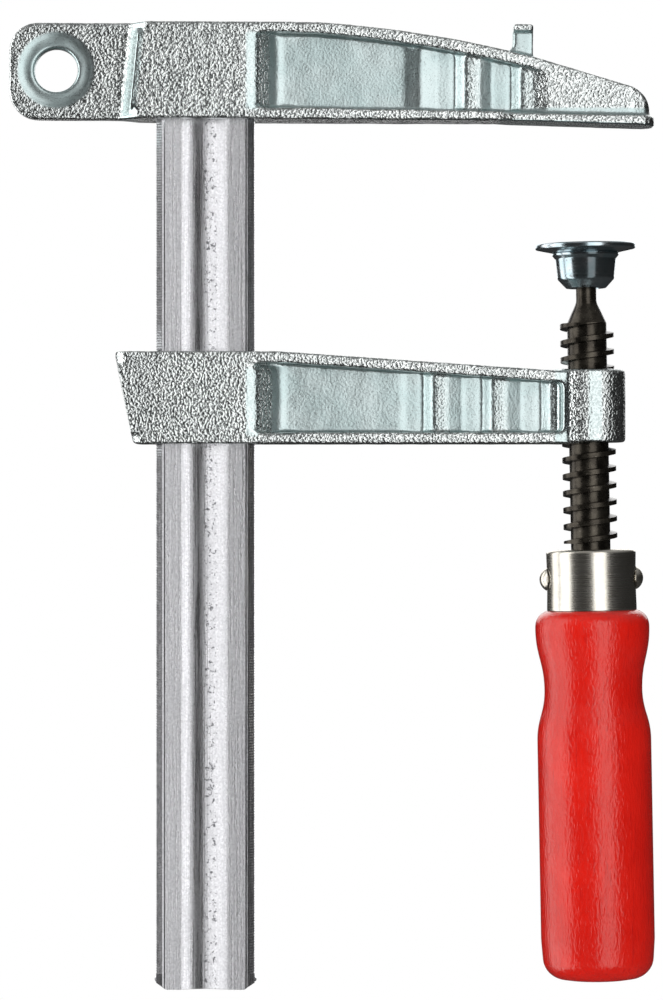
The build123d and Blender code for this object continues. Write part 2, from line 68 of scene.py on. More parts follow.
# Low and high Z, half the thickness of the block and of the web, and the X of each crease
FIXED_WEB = (-12.2, 11.4, 10.0, 3.0, (119.3, 136.1))
SLIDING_WEB = (-109.4, -88.4, 11.0, 3.2, (109.7, 127.3, 144.9))
BOSS_X = 159.5  # where the screw passes the sliding jaw
SCREW_LEAN = math.radians(1.05)
RAIL_HALF = 14.75  # half the rail's width
RAIL_FACE = 5.5  # half its thickness
RAIL_TOP = 14.0
END_CUT_WIDTH = 3.0  # the cut corners at the rail's foot
END_CUT_HEIGHT = 1.8
SERRATION_PITCH = 0.8
SERRATION_DEPTH = 0.28
SERRATION_FOOT, SERRATION_TOP = -270.5, -14.0
TOOTH = (0.0, 0.55, 1.0, 0.55)  # share of the depth at the rings of one tooth
GROOVE_DEPTH = 2.2
GROOVE_HALF = 7.2
GROOVE_STEPS = 28
PATCH_RINGS = 13
GRAIN_DEPTH = 0.012  # relief of the wood under its lacquer
GRIP_SEAT = -102.25  # height along the screw where the grip meets the ferrule
TENON_RADIUS = 12.3  # the wood inside the ferrule
CAP_TOP, CAP_FOOT = -84.05, -102.2  # heights along the screw
CAP_HOLE, CAP_RADIUS, CAP_WALL = 6.25, 13.43, 0.9
CAP_EDGE = 1.2  # radius of the cap's rolled top edge
CAP_WAIST = 0.17


# --- Frames and small tools


def axis_of(joint):
    """A joint's axis and point, as vectors."""
    found = next(j for j in frame["joints"] if j["name"] == joint)
    return Vector(found["axis"]).normalized(), Vector(found["pos_m"])


screw_axis, ball = axis_of("screw_turn")
screw_frame = Matrix.Translation(ball) @ Matrix.Rotation(-SCREW_LEAN, 4, "Y")


def vertices_of(node):
    """A CAD node's vertices as an array of world places."""
    mesh = frame["nodes"][node].data
    places = np.empty(len(mesh.vertices) * 3)
    mesh.vertices.foreach_get("co", places)
    return places.reshape(-1, 3)


def screw_places(node):
    """A CAD node's vertices as height along the screw and radius from its axis, in millimetres."""
    local = (vertices_of(node) - np.array(ball)) / MM
    direction = np.array(screw_axis)
    height = local @ direction
    radius = np.linalg.norm(local - np.outer(height, direction), axis=1)
    return height, radius


def new_piece(name, places, faces, body, replaced=(), smooth=True):
    """A mesh object from arrays of places in metres and faces, riding on a body."""
    mesh = bpy.data.meshes.new(name)
    mesh.from_pydata([tuple(p) for p in places], [], faces)
    mesh.validate()
    mesh.update()
    if smooth:
        mesh.shade_smooth()
    piece = bpy.data.objects.new(name, mesh)
    bpy.context.scene.collection.objects.link(piece)
    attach(piece, body)
    if replaced:
        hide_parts(*replaced)
    return piece


def ring_faces(rows, columns, closed_top=True, closed_bottom=True):
    """Faces of a tube of rows rings with columns points each, the rings going downwards."""
    faces = []
    for row in range(rows - 1):
        for column in range(columns):
            following = (column + 1) % columns
            a, b = row * columns + column, row * columns + following
            faces.append((a, a + columns, b + columns, b))
    if closed_top:
        faces.append(tuple(range(columns)))
    if closed_bottom:
        faces.append(tuple(reversed(range((rows - 1) * columns, rows * columns))))
    return faces


def lathe(profile, columns, relief=None):
    """Places of a turned shape from (radius, height) pairs in mm, on the screw's axis, going down."""
    angles = np.linspace(0, 2 * math.pi, columns, endpoint=False)
    places = []
    for radius, height in profile:
        for angle in angles:
            bite = relief(angle, height) if relief else 0.0
            r = (radius - bite) * MM
            places.append(screw_frame @ Vector((r * math.cos(angle), r * math.sin(angle), height * MM)))
    return places


# --- Materials


class Graph:
    """A material's node tree, with short calls for the nodes it needs."""

    def __init__(self, name):
        self.material = bpy.data.materials.new(name)
        self.material.use_nodes = True
        self.tree = self.material.node_tree
        self.shader = self.tree.nodes["Principled BSDF"]
        self.place = self.tree.nodes.new("ShaderNodeTexCoord").outputs["Object"]

    def set(self, **values):
        for name, value in values.items():
            self.shader.inputs[name.replace("_", " ")].default_value = value

    def link(self, source, target):
        self.tree.links.new(source, target)

    def into(self, name, source):
        self.link(source, self.shader.inputs[name])

    def value(self, socket, source):
        if isinstance(source, (int, float)):
            socket.default_value = source
        else:
            self.link(source, socket)

    def attribute(self, name):
        node = self.tree.nodes.new("ShaderNodeAttribute")
        node.attribute_name = name
        return node.outputs["Fac"]

    def stretched(self, scale, turn=(0, 0, 0), place=None):
        """Object coordinates times scale, so that a texture runs along one direction."""
        node = self.tree.nodes.new("ShaderNodeMapping")
        node.inputs["Scale"].default_value = scale
        node.inputs["Rotation"].default_value = turn
        self.link(place or self.place, node.inputs["Vector"])
        return node.outputs["Vector"]

    def noise(self, scale, detail=3.0, roughness=0.5, place=None, distortion=0.0):
        node = self.tree.nodes.new("ShaderNodeTexNoise")
        node.inputs["Scale"].default_value = scale
        node.inputs["Detail"].default_value = detail
        node.inputs["Roughness"].default_value = roughness
        node.inputs["Distortion"].default_value = distortion
        self.link(place or self.place, node.inputs["Vector"])
        return node.outputs["Fac"]

    def ramp(self, source, low, high, start=0.0, end=1.0):
        node = self.tree.nodes.new("ShaderNodeMapRange")
        node.interpolation_type = "SMOOTHSTEP"
        self.link(source, node.inputs["Value"])
        for name, value in zip(("From Min", "From Max", "To Min", "To Max"), (low, high, start, end)):
            node.inputs[name].default_value = value
        return node.outputs["Result"]

    def math(self, operation, first, second=0.0):
        node = self.tree.nodes.new("ShaderNodeMath")
        node.operation = operation
        self.value(node.inputs[0], first)
        self.value(node.inputs[1], second)
        return node.outputs[0]

    def mix(self, factor, first, second):
        """A colour between two colours or colour sockets."""
        node = self.tree.nodes.new("ShaderNodeMix")
        node.data_type = "RGBA"
        self.value(node.inputs["Factor"], factor)
        for socket, colour in ((node.inputs[6], first), (node.inputs[7], second)):
            if isinstance(colour, tuple):
                socket.default_value = (*colour, 1.0)
            else:
                self.link(colour, socket)
        return node.outputs[2]

    def bump(self, height, distance, strength=1.0, below=None):
        node = self.tree.nodes.new("ShaderNodeBump")
        node.inputs["Distance"].default_value = distance
        self.value(node.inputs["Strength"], strength)
        self.link(height, node.inputs["Height"])
        if below is not None:
            self.link(below, node.inputs["Normal"])
        return node.outputs["Normal"]


def casting_material():
    """Zinc plated cast iron: coarse bright grain outside, with painted shade darkening the grain's hollows; finer
    and blue-green in the pockets, darker there as painted shade of the recesses.
    """
    g = Graph("zinc_plated_casting")
    pocket, smooth = g.attribute("pocket"), g.attribute("machined")
    coarse = g.noise(1350, 1.0, 0.5)
    fine = g.noise(2300, 2.0, 0.5)
    cloud = g.noise(90, 3.0)
    silver = g.mix(g.ramp(cloud, 0.3, 0.7), (0.69, 0.725, 0.72), (0.77, 0.80, 0.79))
    # The recesses' blue-green, set darker than the silver as painted shade.
    teal_with_shade = g.mix(g.ramp(cloud, 0.3, 0.7), (0.50, 0.61, 0.61), (0.58, 0.67, 0.67))
    # Grain tone that is darker where the grain's bump is low: painted shade in its hollows.
    shaded_grain = g.mix(g.ramp(coarse, 0.38, 0.56), (0.40, 0.425, 0.42), silver)
    # Dark specks where the fine bump is low, painted shade, over the recesses' darker blue-green.
    recess_shade_specks = g.mix(g.ramp(fine, 0.30, 0.44), (0.36, 0.42, 0.42), teal_with_shade)
    g.into("Base Color", g.mix(g.math("MAXIMUM", pocket, smooth), shaded_grain, recess_shade_specks))
    g.set(Metallic=1.0)
    grain_rough = g.ramp(fine, 0.2, 0.8, 0.16, 0.26)
    g.into("Roughness", g.math("ADD", grain_rough, g.ramp(pocket, 0.0, 1.0, 0.0, 0.14)))
    rough_share = g.math("MULTIPLY", g.math("SUBTRACT", 1.0, smooth), g.ramp(pocket, 0.0, 1.0, 1.0, 0.22))
    grain = g.bump(g.ramp(coarse, 0.2, 0.8), 0.00017, rough_share)
    g.into("Normal", g.bump(fine, 0.00004, rough_share, grain))
    return g.material


def rail_material():
    """Drawn steel: grey lands with a fine grit, streaks along the bar, a grittier groove."""
    g = Graph("rail_steel")
    grit = g.noise(1500, 3.0, 0.6)
    streak = g.noise(1.0, 3.0, 0.6, g.stretched((1600, 1600, 45)))
    groove = g.attribute("groove")
    colour = g.mix(g.ramp(grit, 0.3, 0.7), (0.50, 0.50, 0.52), (0.66, 0.66, 0.68))
    spots = g.math("MULTIPLY", g.ramp(g.noise(1000, 2.0, 0.6, distortion=0.8), 0.56, 0.66), groove)
    g.into("Base Color", g.mix(spots, colour, (0.13, 0.13, 0.14)))
    g.set(Metallic=1.0)
    g.into("Roughness", g.ramp(streak, 0.25, 0.75, 0.22, 0.36))
    drawn = g.bump(streak, 0.00003, 1.0)
    g.into("Normal", g.bump(grit, 0.00006, g.ramp(groove, 0.0, 1.0, 0.6, 1.0), drawn))
    return g.material


def screw_material():
    """Black oxide on rolled steel, with oily brown lights and a few bright wear lines."""
    g = Graph("blackened_steel")
    cloud = g.noise(260, 4.0, 0.6)
    fine = g.noise(1800, 3.0, 0.6)
    colour = g.mix(g.ramp(cloud, 0.35, 0.7), (0.036, 0.031, 0.025), (0.085, 0.075, 0.060))
    g.into("Base Color", g.mix(g.ramp(fine, 0.66, 0.76), colour, (0.30, 0.27, 0.23)))
    g.set(Metallic=0.9)
    g.into("Roughness", g.ramp(cloud, 0.3, 0.7, 0.20, 0.34))
    g.into("Normal", g.bump(fine, 0.00003, 0.7))
    return g.material


def turned_place(g):
    """Radius from the screw's axis and height along it, for marks that run round turned pieces."""
    lean = g.tree.nodes.new("ShaderNodeMapping")
    lean.vector_type = "TEXTURE"
    lean.inputs["Location"].default_value = ball
    lean.inputs["Rotation"].default_value = (0, -SCREW_LEAN, 0)
    g.link(g.place, lean.inputs["Vector"])
    parts = g.tree.nodes.new("ShaderNodeSeparateXYZ")
    g.link(lean.outputs["Vector"], parts.inputs["Vector"])
    square = [g.math("MULTIPLY", parts.outputs[i], parts.outputs[i]) for i in (0, 1)]
    radius = g.math("SQRT", g.math("ADD", *square))
    joined = g.tree.nodes.new("ShaderNodeCombineXYZ")
    g.link(radius, joined.inputs[0])
    g.link(parts.outputs[2], joined.inputs[2])
    return joined.outputs["Vector"], lean.outputs["Vector"]


def bright_zinc_material():
    """Polished steel with a thin blue-green zinc coat and fine turning marks."""
    g = Graph("bright_zinc")
    round_place, _ = turned_place(g)
    marks = g.noise(2600, 2.0, 0.6, round_place)
    cloud = g.noise(170, 3.0, 0.6)
    specks = g.ramp(g.noise(900, 2.0, 0.6), 0.63, 0.72)
    colour = g.mix(g.ramp(cloud, 0.35, 0.65), (0.58, 0.63, 0.66), (0.42, 0.53, 0.57))
    g.into("Base Color", g.mix(specks, colour, (0.30, 0.33, 0.34)))
    g.set(Metallic=1.0)
    g.into("Roughness", g.ramp(marks, 0.3, 0.7, 0.13, 0.24))
    g.into("Normal", g.bump(marks, 0.00002, 0.6))
    return g.material


def ferrule_material():
    """Drawn mild steel, brushed round, with a warm grey-brown cast."""
    g = Graph("ferrule_steel")
    round_place, _ = turned_place(g)
    marks = g.noise(1.0, 3.0, 0.6, g.stretched((900, 900, 5200), place=round_place))
    cloud = g.noise(220, 3.0, 0.6)
    g.into("Base Color", g.mix(g.ramp(cloud, 0.3, 0.7), (0.68, 0.64, 0.56), (0.78, 0.75, 0.68)))
    g.set(Metallic=1.0)
    g.into("Roughness", g.ramp(marks, 0.3, 0.7, 0.20, 0.30))
    g.into("Normal", g.bump(marks, 0.000007, 0.5))
    return g.material


def spring_material():
    """Plain spring steel for the ring that nobody sees."""
    g = Graph("spring_steel")
    cloud = g.noise(400, 3.0, 0.6)
    g.into("Base Color", g.mix(cloud, (0.38, 0.38, 0.40), (0.52, 0.52, 0.54)))
    g.set(Metallic=1.0)
    g.into("Roughness", g.ramp(cloud, 0.3, 0.7, 0.25, 0.4))
    g.into("Normal", g.bump(cloud, 0.00002, 0.6))
    return g.material


def handle_material():
    """Glossy red lacquer over turned hardwood: grain streaks along the grip under a clear coat."""
    g = Graph("red_lacquered_wood")
    _, straight = turned_place(g)
    grain = g.noise(1.0, 4.0, 0.62, g.stretched((900, 900, 70), place=straight), distortion=0.6)
    pores = g.noise(1.0, 2.0, 0.5, g.stretched((1300, 1300, 520), place=straight))
    cloud = g.noise(60, 3.0, 0.6)
    deep = g.mix(g.ramp(cloud, 0.3, 0.7), (0.57, 0.009, 0.005), (0.67, 0.013, 0.007))
    g.into("Base Color", g.mix(g.ramp(grain, 0.56, 0.74), deep, (0.46, 0.008, 0.007)))
    g.set(Coat_Weight=0.3, Coat_Roughness=0.10, Coat_IOR=1.5, IOR=1.46)
    g.set(Coat_Tint=(1.0, 0.93, 0.86, 1.0), Specular_Tint=(1.0, 0.93, 0.86, 1.0))
    g.into("Roughness", g.ramp(pores, 0.3, 0.7, 0.12, 0.26))
    relief = g.bump(g.ramp(pores, 0.3, 0.7), 0.00007, 0.9)
    bumped = g.bump(g.ramp(grain, 0.35, 0.75), 0.00003, 0.8, relief)
    g.into("Normal", bumped)
    g.into("Coat Normal", bumped)
    return g.material


# --- Castings


def blurred(places, edges, weights, rounds):
    """Moves each place towards the mean of its neighbours, weights times, rounds times."""
    ends, others = np.concatenate([edges, edges[:, ::-1]]).T
    size = len(places)
    count = np.bincount(ends, minlength=size)
    for _ in range(rounds):
        means = [np.bincount(ends, places[others, axis], size) / count for axis in range(3)]
        places = places + weights[:, None] * (np.stack(means, axis=1) - places)
    return places


def step(value, low, high):
    """A smooth step from 0 to 1 between low and high, for arrays."""
    t = np.clip((value - low) / (high - low), 0, 1)
    return t * t * (3 - 2 * t)


def reshape_web(places, low, high, wall, floor, creases):
    """Rounds the pocket's end ramp and levels the web before each crease. All in millimetres."""
    x, y, z = places.T
    depth = np.abs(y)
    inside = (z > low) & (z < high) & ((x > RAMP_CLEAR) | (depth > OUTER_DEPTH))
    run = np.clip(x - RAMP_START, 0, None)
    turned = RAMP_RADIUS * math.sin(RAMP_SLOPE)
    arc = RAMP_RADIUS - np.sqrt(RAMP_RADIUS**2 - np.clip(run, 0, turned) ** 2)
    ramp = wall - arc - np.clip(run - turned, 0, None) * math.tan(RAMP_SLOPE)
    raised = np.maximum(depth, np.minimum(ramp, wall))
    lifted = np.where(inside & (x < RAMP_END) & (depth > floor - 0.3), raised, depth)
    leads, rises = np.array(CREASE_PROFILE).T
    for crease in creases:
        level = inside & (x > crease + leads[0]) & (x < crease + leads[-1]) & (depth < floor + CREASE_REACH)
        lifted = np.where(level, np.interp(x, crease + leads, floor + rises), lifted)
    return np.stack([x, np.copysign(lifted, y), z], axis=1)


def casting(node, body, web, crisp, melted, pocket, machined):
    """A denser, softer copy of a cast jaw, with the masks that its material reads.

    web holds what reshape_web needs. crisp, melted, pocket and machined take places in millimetres
    and give 0 to 1 for each.
    """
    source = frame["nodes"][node]
    mesh = source.data.copy()
    piece = bpy.data.objects.new(node + "_casting", mesh)
    bpy.context.scene.collection.objects.link(piece)
    remesh = piece.modifiers.new("remesh", "REMESH")
    remesh.mode = "VOXEL"
    remesh.voxel_size = CAST_VOXEL * MM
    remesh.use_smooth_shade = True
    shaped = bpy.data.meshes.new_from_object(piece.evaluated_get(bpy.context.evaluated_depsgraph_get()))
    piece.modifiers.clear()
    piece.data = shaped
    shaped.name = piece.name
    count = len(shaped.vertices)
    places = np.empty(count * 3)
    shaped.vertices.foreach_get("co", places)
    places = places.reshape(-1, 3) / MM
    edges = np.empty(len(shaped.edges) * 2, dtype=np.int64)
    shaped.edges.foreach_get("vertices", edges)
    edges = edges.reshape(-1, 2)
    places = reshape_web(places, *web)
    keep = crisp(places)
    places = blurred(places, edges, 0.5 * melted(places) * (1 - keep), MELTED_SMOOTHINGS)
    places = blurred(places, edges, 0.5 * (1 - keep), CAST_SMOOTHINGS)
    places = blurred(places, edges, np.full(count, 0.25), 1)
    shaped.vertices.foreach_set("co", (places * MM).ravel())
    shaped.update()
    normals = np.empty(count * 3)
    shaped.vertices.foreach_get("normal", normals)
    normals = normals.reshape(-1, 3)
    wave = np.array([noise.noise(Vector(p) / CAST_WAVE_LENGTH) for p in places])
    wave = np.clip(wave + 0.5, 0, 1) * CAST_WAVE * (1 - keep)
    places = places - normals * wave[:, None]
    shaped.vertices.foreach_set("co", (places * MM).ravel())
    for name, mask in (("pocket", pocket), ("machined", machined)):
        layer = shaped.attributes.new(name, "FLOAT", "POINT")
        layer.data.foreach_set("value", mask(places))
    shaped.update()
    shaped.shade_smooth()
    shaped.materials.clear()
    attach(piece, body)
    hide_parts(node)
    return piece


def within(value, low, full_low, full_high, high):
    """1 between full_low and full_high, falling to 0 at low and at high."""
    return step(value, low, full_low) * (1 - step(value, full_high, high))


def spread(places, x_low, x_high, edge=0.8):
    """1 between two X, falling to 0 over edge."""
    return within(places[:, 0], x_low - edge, x_low, x_high, x_high + edge)


def brow(places, heights):
    """The smoother stripe of the flat side, between the block and the pocket's ramp."""
    _, y, z = places.T
    outer = step(np.abs(y), OUTER_DEPTH, OUTER_DEPTH + 0.4)
    return spread(places, 57.4, 60.3) * outer * within(z, *heights) * 0.75


def lug_neck(places):
    """The smooth stretch under the lug."""
    return spread(places, 134.0, 144.5) * within(places[:, 2], 6.2, 8.2, 11.4, 12.0)


def fixed_crisp(places):
    """Bore, rail slot and anvil stay sharp."""
    x, y, z = places.T
    from_hole = np.hypot(x, z)
    bore = 1 - step(from_hole, 7.6, 8.6)
    anvil_face = step(-z, 14.6, 15.3) * step(x, 131.5, 133.0)
    slot = spread(places, 29.2, 60.3) * (1 - step(np.abs(y), 5.8, 6.6))
    return np.clip(np.maximum.reduce([bore, anvil_face * 0.75, slot]), 0, 1)


def fixed_melted(places):
    """The ramp down into the pocket is well rounded."""
    _, _, z = places.T
    return spread(places, 55.5, RAMP_END, 2.5) * within(z, -13.5, -11.5, 9.6, 11.4)


def fixed_pocket(places):
    """The recessed faces: the pockets, the eye's turned ring, the lug's neck and the anvil's lip. The casting's
    colour paints them darker as their shade.
    """
    x, y, z = places.T
    depth = 1 - step(np.abs(y), 4.8, 6.5)
    inside = depth * spread(places, 61.0, 144.5, 1.5) * within(z, -13.2, -11.4, 9.6, 11.4)
    ring = (1 - step(np.hypot(x, z), 11.0, 12.0)) * 0.8
    lip = spread(places, 134.0, 176.5) * within(z, -13.9, -13.3, -11.9, -11.3) * 0.9
    return np.clip(np.maximum.reduce([inside, ring, lug_neck(places), lip]), 0, 1)


def fixed_machined(places):
    """The turned ring, the ground anvil, the lug's neck and, in part, the worn slant and the brow."""
    x, _, z = places.T
    ring = 1 - step(np.hypot(x, z), 11.0, 11.6)
    anvil = -14.9 - np.clip(x - 132.5, 0, None) * math.tan(math.radians(1.8))
    face = step(anvil - z, -0.1, 0.3) * step(x, 132.0, 133.0)
    rise = z + 15.0
    left, right = 0.119 * rise, 0.091 * rise  # its two edges lean towards the arm
    slant = within(x, 18.9 + left, 20.3 + left, 23.6 + right, 24.6 + right) * 0.8
    stripe = brow(places, (-13.0, -11.5, 10.0, 11.4))
    return np.clip(np.maximum.reduce([ring, face, lug_neck(places), slant, stripe]), 0, 1)


def sliding_crisp(places):
    """The rail slot and the threaded hole stay sharp."""
    x, y, _ = places.T
    slot = spread(places, 28.6, 60.6) * (1 - step(np.abs(y), 6.2, 7.2))
    thread = 1 - step(np.hypot(x - BOSS_X, y), 8.8, 9.6)
    return np.clip(np.maximum(slot, thread), 0, 1)


def sliding_melted(places):
    """The ramp down into the pocket is well rounded."""
    _, _, z = places.T
    return spread(places, 55.5, RAMP_END, 2.5) * within(z, -110.5, -108.5, -89.5, -87.5)


def sliding_pocket(places):
    """The recessed web between the flanges, which the casting's colour paints darker as its shade."""
    _, y, z = places.T
    depth = 1 - step(np.abs(y), 5.0, 6.7)
    return depth * spread(places, 61.0, 150.0, 1.5) * within(z, -110.0, -108.4, -89.0, -87.4)


def sliding_machined(places):
    """The threaded hole and, in part, the brow, the cheek before the boss and the boss's crown."""
    x, y, _ = places.T
    hole = 1 - step(np.hypot(x - BOSS_X, y), 8.4, 8.8)
    stripe = brow(places, (-110.5, -109.0, -90.0, -88.5))
    cheek = spread(places, 149.6, 152.8) * step(np.abs(y), 4.0, 6.0) * 0.8
    crown = spread(places, 159.4, 162.6) * step(np.abs(y), OUTER_DEPTH, OUTER_DEPTH + 0.4) * 0.5
    return np.maximum.reduce([hole, stripe, cheek, crown])


# --- Rail


def rail_half_at(height, foot):
    """Half the rail's width at a height in mm: the two bottom corners are cut off."""
    return RAIL_HALF - max(0.0, END_CUT_HEIGHT - (height - foot)) * END_CUT_WIDTH / END_CUT_HEIGHT


def rail_outline():
    """The section's points as (x, y, serration share, groove share), all round."""
    half, face = RAIL_HALF, RAIL_FACE
    shoulder = face - 0.5
    side = [(half, y, 1.0) for y in (-3.0, -1.5, 0.0, 1.5, 3.0)]
    bevel = [(half - 0.7, 3.7, 1.0), (half - 1.4, 4.4, 0.8), (half - 2.0, shoulder, 0.0)]
    land = [(half - 2.3, shoulder + 0.08, 0.0), (half - 2.75, face, 0.0), (half - 3.4, face, 0.0)]
    land += [(GROOVE_HALF + 1.5, face, 0.0), (GROOVE_HALF + 0.3, face, 0.0)]
    radius = (GROOVE_HALF**2 + GROOVE_DEPTH**2) / (2 * GROOVE_DEPTH)
    groove = []
    for n in range(GROOVE_STEPS + 1):
        x = GROOVE_HALF * math.cos(math.pi * n / GROOVE_STEPS)
        sag = math.sqrt(radius**2 - x**2) - (radius - GROOVE_DEPTH)
        groove.append((x, face - sag, 0.0))
    front = [(x, y, s, 0.0) for x, y, s in side + bevel + land]
    middle = [(x, y, s, 1.0 if -3.6 < x < 0.6 else 0.0) for x, y, s in groove]
    left = [(-x, y, s, g) for x, y, s, g in reversed(front[len(side):])]
    top = front + middle + left
    bottom = [(-x, -y, s, g) for x, y, s, g in top]
    return top + bottom


def rail_bar():
    """The bar with serrated edges. Its rings go downwards, four to a tooth, to the cut corners."""
    low, high = (Vector(v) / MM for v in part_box("rail"))
    middle = (low.x + high.x) / 2
    foot = low.z
    outline = rail_outline()
    rings = int((RAIL_TOP - foot) / SERRATION_PITCH * len(TOOTH))
    heights = list(np.linspace(RAIL_TOP, foot + 2.2, rings))
    heights += [foot + h for h in (1.8, 1.4, 0.9, 0.4, 0.08, 0.0)]
    places, groove = [], []
    for n, height in enumerate(heights):
        half = rail_half_at(height, foot)
        tooth = TOOTH[n % len(TOOTH)] if SERRATION_FOOT < height < SERRATION_TOP else 0.0
        shrink = 0.12 if height == foot else 0.0
        for x, y, share, in_groove in outline:
            bite = SERRATION_DEPTH * tooth * share
            bite *= 0.8 + 0.4 * noise.noise(Vector((x, y, height)) * 0.9)
            cut = math.copysign(min(abs(x) - bite, half - shrink), x)
            places.append(((middle + cut) * MM, math.copysign(abs(y) - shrink, y) * MM, height * MM))
            groove.append(in_groove)
    faces = ring_faces(len(heights), len(outline))
    bar = new_piece("rail_bar", places, faces, "frame", ("rail",), smooth=False)
    layer = bar.data.attributes.new("groove", "FLOAT", "POINT")
    layer.data.foreach_set("value", groove)
    return bar


def domed_patch(name, centre, size, height, sides, dents, normal=(0, 0, 1), power=4.0):
    """A low raised patch, square-ish in plan with a rounded rim, for the riveted head and the burrs."""
    rows = []
    for r in np.linspace(1, 0, PATCH_RINGS + 1)[:-1]:
        for n in range(sides):
            angle = 2 * math.pi * n / sides
            c, s = math.cos(angle), math.sin(angle)
            reach = (abs(c) ** power + abs(s) ** power) ** (-1 / power)
            x, y = size[0] * reach * c * r, size[1] * reach * s * r
            rise = height * min(1.0, (1 - r**6)) * (1 - dents * abs(noise.noise(Vector((x, y, 3)) * 0.5)))
            rows.append((x, y, rise))
    rows.append((0, 0, height * (1 - dents * 0.5)))
    faces = []
    for ring in range(PATCH_RINGS - 1):
        for n in range(sides):
            a, b = ring * sides + n, ring * sides + (n + 1) % sides
            faces.append((a, b, b + sides, a + sides))
    last = (PATCH_RINGS - 1) * sides
    faces += [(last + n, last + (n + 1) % sides, len(rows) - 1) for n in range(sides)]
    faces.append(tuple(reversed(range(sides))))
    turn = Vector((0, 0, 1)).rotation_difference(Vector(normal))
    places = [(Vector(centre) + turn @ Vector(p)) * MM for p in rows]
    return new_piece(name, places, faces, "frame")


def rail_head():
    """The riveted head, hammered over the fixed jaw."""
    middle = sum(v.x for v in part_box("rail")) / 2 / MM
    return domed_patch("rail_riveted_head", (middle, 0, RAIL_TOP), (12.9, 4.0), 0.48, 64, 0.5)


def rail_burrs():
    """The two burrs that keep the sliding jaw on the rail."""
    low, high = (Vector(v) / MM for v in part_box("rail"))
    made = []
    for name, x, side in (("stop_burr_left", low.x + 0.6, -1), ("stop_burr_right", high.x - 0.6, 1)):
        centre = (x, 0, low.z + 2.7)
        made.append(domed_patch(name, centre, (0.8, 2.0), 0.58, 32, 0.15, (side, 0, 0), 2.5))
    return made


# --- Screw, ferrule and handle


def outer_profile(node, low, high, count):
    """(radius, height) pairs of a turned CAD node's outside, from high down to low."""
    height, radius = screw_places(node)
    edges = np.unique(np.round(height, 2))
    outside = {}
    for h in edges:
        near = radius[np.abs(height - h) < 0.006]
        outside[h] = near.max()
    known = sorted(outside.items())
    heights = np.linspace(high, low, count)
    radii = np.interp(heights, [h for h, _ in known], [r for _, r in known])
    return list(zip(radii, heights))


def handle_relief(angle, height):
    """Bites of the wood's grain into the lacquered surface, in mm."""
    place = Vector((math.cos(angle) * 17, math.sin(angle) * 17, height * 0.085))
    streak = noise.noise(place * 1.25) + 0.5 * noise.noise(place * 2.9)
    return GRAIN_DEPTH * min(1.0, max(0.0, 0.5 + streak))


def handle_grip():
    """The red grip with grain relief, from under the ferrule to its rounded end."""
    height, _ = screw_places("handle")
    foot = height.min()
    profile = [(TENON_RADIUS, GRIP_SEAT + 2.0), (TENON_RADIUS, GRIP_SEAT + 0.02), (13.0, GRIP_SEAT)]
    body = outer_profile("handle", foot, GRIP_SEAT - 0.05, 300)
    profile += [(r, h) for r, h in body if r > 4]
    inner = profile[-1][0]
    profile += [(inner * k, foot + 0.02 + 0.25 * (1 - k)) for k in (0.75, 0.5, 0.25, 0.05)]
    columns = 256
    places = lathe(profile, columns, handle_relief)
    faces = ring_faces(len(profile), columns)
    return new_piece("handle_grip", places, faces, "screw", ("handle",))


def ferrule_cap():
    """The drawn cap: rolled top edge, a slight waist and a turned-out foot."""
    top, foot = CAP_TOP, CAP_FOOT
    hole, outside, wall = CAP_HOLE, CAP_RADIUS, CAP_WALL
    profile = [(hole, top - wall), (hole, top - 0.15), (hole + 0.15, top - 0.02), (outside - 1.6, top)]
    for n in range(1, 9):
        angle = math.pi / 2 * (1 - n / 8)
        across, up = CAP_EDGE * math.cos(angle), CAP_EDGE * math.sin(angle)
        profile.append((outside - CAP_EDGE + across, top - CAP_EDGE + up))
    for height in np.linspace(top - 1.6, foot + 0.1, 40):
        share = (top - height) / (top - foot)
        waist = CAP_WAIST * math.sin(math.pi * share) ** 1.5
        profile.append((outside - waist, height))
    profile += [(outside - 0.05, foot + 0.03), (outside - 0.15, foot), (outside - wall, foot)]
    profile += [(outside - wall, foot + 0.5), (outside - wall, top - wall - 0.8)]
    profile.append((outside - 1.8, top - wall))
    columns = 160
    places = lathe(profile, columns)
    faces = ring_faces(len(profile), columns, False, False)
    last = (len(profile) - 1) * columns
    faces += [(last + n, n, (n + 1) % columns, last + (n + 1) % columns) for n in range(columns)]
    return new_piece("ferrule_cap", places, faces, "screw", ("ferrule",))


# --- Build


materials = {
    "rail_steel": rail_material(),
    "zinc_plated_casting": casting_material(),
    "blackened_steel": screw_material(),
    "spring_steel": spring_material(),
    "bright_zinc": bright_zinc_material(),
    "ferrule_steel": ferrule_material(),
    "red_lacquered_wood": handle_material(),
}


def finish_with(piece, slot):
    """Gives every face of a piece one of the materials."""
    piece.data.materials.clear()
    piece.data.materials.append(materials[slot])


fixed_masks = (fixed_crisp, fixed_melted, fixed_pocket, fixed_machined)
sliding_masks = (sliding_crisp, sliding_melted, sliding_pocket, sliding_machined)
upper = casting("fixed_jaw", "frame", FIXED_WEB, *fixed_masks)
lower = casting("sliding_jaw", "sliding_arm", SLIDING_WEB, *sliding_masks)
bar = rail_bar()
head = rail_head()
burrs = rail_burrs()
grip = handle_grip()
cap = ferrule_cap()

for piece, slot in [(upper, "zinc_plated_casting"), (lower, "zinc_plated_casting"), (bar, "rail_steel")]:
    finish_with(piece, slot)
for piece in [head] + burrs:
    finish_with(piece, "rail_steel")
finish_with(grip, "red_lacquered_wood")
finish_with(cap, "ferrule_steel")

for row in frame["record"]["subparts"]:
    node = frame["nodes"][row["node"]]
    for slot in node.material_slots:
        slot.material = materials[row["material_slot"]]


# --- Studio


